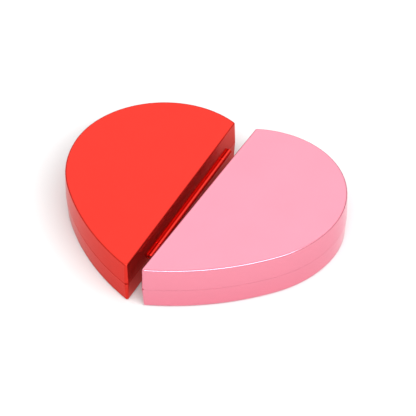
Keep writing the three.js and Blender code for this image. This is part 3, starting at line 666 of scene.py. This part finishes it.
def ring_roll(node):
    """A foam roll in velvet: the plain solid, shrunk a little and swelled as cloth."""
    source = frame["nodes"][node]
    piece = bpy.data.objects.new(node.replace("ring_roll", "velvet_roll"), source.data.copy())
    bpy.context.scene.collection.objects.link(piece)
    shrink(piece)
    remesh = piece.modifiers.new("remesh", "REMESH")
    remesh.mode = "VOXEL"
    remesh.voxel_size = ROLL_VOXEL
    apply_modifiers(piece)
    swell(piece)
    piece.modifiers.new("rounder", "SUBSURF").levels = 1
    piece.modifiers["rounder"].render_levels = 1
    apply_modifiers(piece)
    piece.data.shade_smooth()
    return finish_piece(piece, "cream_velvet", "pink_half", node)


def shrink(piece):
    """Take ROLL_SHRINK off every side, to leave room for the swelling."""
    mesh = piece.data
    points = [v.co.copy() for v in mesh.vertices]
    low = Vector(min(p[i] for p in points) for i in range(3))
    high = Vector(max(p[i] for p in points) for i in range(3))
    middle = (low + high) / 2
    share = [1 - 2 * ROLL_SHRINK / max(high[i] - low[i], 0.001) for i in range(3)]
    for v in mesh.vertices:
        v.co = Vector(middle[i] + (v.co[i] - middle[i]) * share[i] for i in range(3))


def swell(piece):
    """Blow the piece up as cloth, with no point moved further than ROLL_CAP."""
    start = [v.co.copy() for v in piece.data.vertices]
    cloth = piece.modifiers.new("cloth", "CLOTH")
    cloth.settings.use_pressure = True
    cloth.settings.uniform_pressure_force = 4
    cloth.settings.effector_weights.gravity = 0
    cloth.settings.quality = 5
    cloth.point_cache.frame_start = 1
    cloth.point_cache.frame_end = SIMULATION_FRAMES
    for step in range(1, SIMULATION_FRAMES + 1):
        bpy.context.scene.frame_set(step)
    apply_modifiers(piece)
    for v, old in zip(piece.data.vertices, start):
        move = v.co - old
        if move.length > ROLL_CAP:
            v.co = old + move.normalized() * ROLL_CAP
    bpy.context.scene.frame_set(1)


for number in range(1, ROLL_COUNT + 1):
    ring_roll(f"ring_roll_{number}")

# ---------------------------------------------------------------- movement
TO_MOVEMENT = Vector((-MOVEMENT_AT[0], MOVEMENT_AT[1], MOVEMENT_AT[2])) * MM
MOVEMENT = HALF[RED] @ Matrix.Translation(TO_MOVEMENT) @ Matrix.Rotation(-math.pi / 2, 4, "Z")
CYLINDER_Z = 9
CYLINDER_RADIUS = 6.3
CYLINDER_START = 13.7
CYLINDER_LENGTH = 18
CYLINDER_BORE = 1.5
CYLINDER_EDGE = 0.3
COMB_TEETH = 18
TUNE_PIN = 0.8
PIN_ROOT = 0.1
PINS_PER_TOOTH = 14
PIN_HALF = 0.14
PIN_TAPER = 0.6
PIN_OFFSET = 0.18
GRIP_ARM = 5.75  # from the middle to each arm
GRIP_BOW = 8.2  # from the pins to the centre of the bow's arc
GRIP_BACK = -1.8  # the arms' ends, behind the pins
GRIP_Z = 3.6 - MOVEMENT_AT[2]  # the pins' height in the movement's own frame
GRIP_HALF_WIDTH = 0.85
GRIP_HALF_HEIGHT = 1.2
GRIP_EDGE = 0.35
GRIP_BORE = 0.9
BORE_MIDDLE = 8
BORE_REACH = 4


def tune_pin(bm, x, turn):
    """One fine tapered pin, standing on the drum."""
    radius2, depth = PIN_HALF * PIN_TAPER, TUNE_PIN + 2 * PIN_ROOT
    sizes = {"radius1": PIN_HALF, "radius2": radius2, "depth": depth}
    pin = bmesh.ops.create_cone(bm, segments=6, cap_ends=True, **sizes)
    outwards = Matrix.Translation((0, 0, CYLINDER_RADIUS + TUNE_PIN / 2 - PIN_ROOT))
    middle = Matrix.Translation((x, 0, CYLINDER_Z))
    matrix = middle @ Matrix.Rotation(turn, 4, "X") @ outwards
    bmesh.ops.transform(bm, matrix=matrix, verts=pin["verts"])


def pinned_cylinder():
    """The brass drum with fine pins at random, in two tracks for each tooth of the comb."""
    start, end = CYLINDER_START, CYLINDER_START + CYLINDER_LENGTH
    r, edge = CYLINDER_RADIUS, CYLINDER_EDGE
    profile = [(CYLINDER_BORE, start), (r - edge, start), (r, start + edge)]
    profile += [(r, end - edge), (r - edge, end), (CYLINDER_BORE, end)]
    drum = turned("tune_cylinder", profile, 96, "X", (0, 0, CYLINDER_Z))
    bm = bmesh.new()
    bm.from_mesh(drum.data)
    for tooth in range(COMB_TEETH):
        for _ in range(PINS_PER_TOOTH):
            turn = rng.uniform(0, 2 * math.pi)
            x = start + tooth + 0.5 + rng.choice((-PIN_OFFSET, PIN_OFFSET))
            tune_pin(bm, x, turn)
    bm.to_mesh(drum.data)
    bm.free()
    place(drum, MOVEMENT)
    smooth(drum)
    finish_piece(drum, "brass", "cylinder", "pinned_cylinder")


def grip_route():
    """The middle line of the bail: one arm, the bow and the other arm."""
    arm, bow = GRIP_ARM, GRIP_BOW
    route = [(arm, GRIP_BACK), (arm, bow * 0.5)]
    turns = (math.pi * i / 32 for i in range(33))
    route += [(arm * math.cos(a), bow + arm * math.sin(a)) for a in turns]
    return route + [(-arm, bow * 0.5), (-arm, GRIP_BACK)]


def grip_section():
    """The bail's cross-section: a rectangle with rounded corners."""
    section = []
    for cx, cz, start in ((1, 1, 0), (-1, 1, 1), (-1, -1, 2), (1, -1, 3)):
        for i in range(5):
            a = (start + i / 4) * math.pi / 2
            across = cx * (GRIP_HALF_WIDTH - GRIP_EDGE) + GRIP_EDGE * math.cos(a)
            height = cz * (GRIP_HALF_HEIGHT - GRIP_EDGE) + GRIP_EDGE * math.sin(a)
            section.append((across, height))
    return section


def key_grip():
    """The folding bail as one bent flat bar with rounded edges."""
    route, section = grip_route(), grip_section()
    bm = bmesh.new()
    rings = []
    for i, p in enumerate(route):
        before = Vector(route[max(i - 1, 0)])
        after = Vector(route[min(i + 1, len(route) - 1)])
        heading = (after - before).normalized()
        side = Vector((heading.y, -heading.x))
        places = [(p[0] + side.x * w, p[1] + side.y * w, GRIP_Z + h) for w, h in section]
        rings.append([bm.verts.new(point) for point in places])
    join_rings(bm, rings)
    grip = new_object("key_bail", bm)
    for x in (-1, 1):
        start, end = x * BORE_MIDDLE - BORE_REACH, x * BORE_MIDDLE + BORE_REACH
        hole = turned("tool", [(GRIP_BORE, start), (GRIP_BORE, end)], 32, "X", (0, 0, GRIP_Z))
        combine(grip, hole, "DIFFERENCE")
    place(grip, MOVEMENT)
    smooth(grip)
    finish_piece(grip, "brass", "key_grip", "key_grip")


pinned_cylinder()
key_grip()

# ---------------------------------------------------------------- carried-over CAD nodes
EDGE_WIDTH = 0.00012
for name, piece in frame["nodes"].items():
    piece.data.materials.clear()
    piece.data.materials.append(BY_SLOT[SLOT_OF[name]])
    if piece.hide_render:
        continue
    bevel = piece.modifiers.new("edges", "BEVEL")
    bevel.width = EDGE_WIDTH * (3 if name == "movement_cover" else 1)
    bevel.segments = 2
    bevel.limit_method = "ANGLE"
    bevel.angle_limit = math.radians(35)
    bevel.harden_normals = True

# ---------------------------------------------------------------- floor and light
FLOOR_REACH = 6


def add_stage():
    """A plain white floor, well past the picture's edges."""
    bm = bmesh.new()
    corners = ((-1, -1), (1, -1), (1, 1), (-1, 1))
    bm.faces.new([bm.verts.new((x * FLOOR_REACH, y * FLOOR_REACH, 0)) for x, y in corners])
    floor = new_object("floor", bm)
    white = material("floor_white", (0.92, 0.92, 0.92), 0.9, spec=0.1)
    shader = white.node_tree.nodes["Principled BSDF"]
    dark, light = (0.67, 0.67, 0.67), (0.69, 0.69, 0.69)
    ramp(white, noise(white, 3, 2), shader.inputs["Base Color"], dark, light)
    floor.data.materials.append(white)


def add_light(name, location, target, size, power):
    data = bpy.data.lights.new(name, "AREA")
    data.shape = "RECTANGLE"
    data.size, data.size_y = size
    data.energy = power
    light = bpy.data.objects.new(name, data)
    bpy.context.scene.collection.objects.link(light)
    light.location = location
    light.rotation_euler = (Vector(location) - Vector(target)).to_track_quat("Z", "Y").to_euler()


# Brightness by the sine of the elevation.
SKY = ((0.0, 0.45), (0.28, 0.45), (0.5, 1.15), (0.62, 1.8), (0.8, 1.75), (0.9, 1.15), (1.0, 0.95))
SKY_BRIGHTEST = max(brightness for _, brightness in SKY)


def add_world():
    """A soft studio: bright overhead, dim towards the horizon."""
    world = bpy.data.worlds.new("studio")
    world.use_nodes = True
    nodes = world.node_tree.nodes
    links = world.node_tree.links
    coordinates = nodes.new("ShaderNodeTexCoord")
    split = nodes.new("ShaderNodeSeparateXYZ")
    steps = nodes.new("ShaderNodeValToRGB")
    elements = steps.color_ramp.elements
    while len(elements) < len(SKY):
        elements.new(0.5)
    for element, (height, brightness) in zip(elements, SKY):
        element.position = height
        element.color = (brightness / SKY_BRIGHTEST,) * 3 + (1,)
    links.new(coordinates.outputs["Generated"], split.inputs["Vector"])
    links.new(split.outputs["Z"], steps.inputs["Fac"])
    links.new(steps.outputs["Color"], nodes["Background"].inputs["Color"])
    nodes["Background"].inputs["Strength"].default_value = SKY_BRIGHTEST
    bpy.context.scene.world = world


add_stage()
add_world()
add_light("front_right", (0.66, -0.56, 0.88), (0, 0, 0), (1.5, 0.34), 14)
bpy.context.scene.view_settings.view_transform = "Standard"
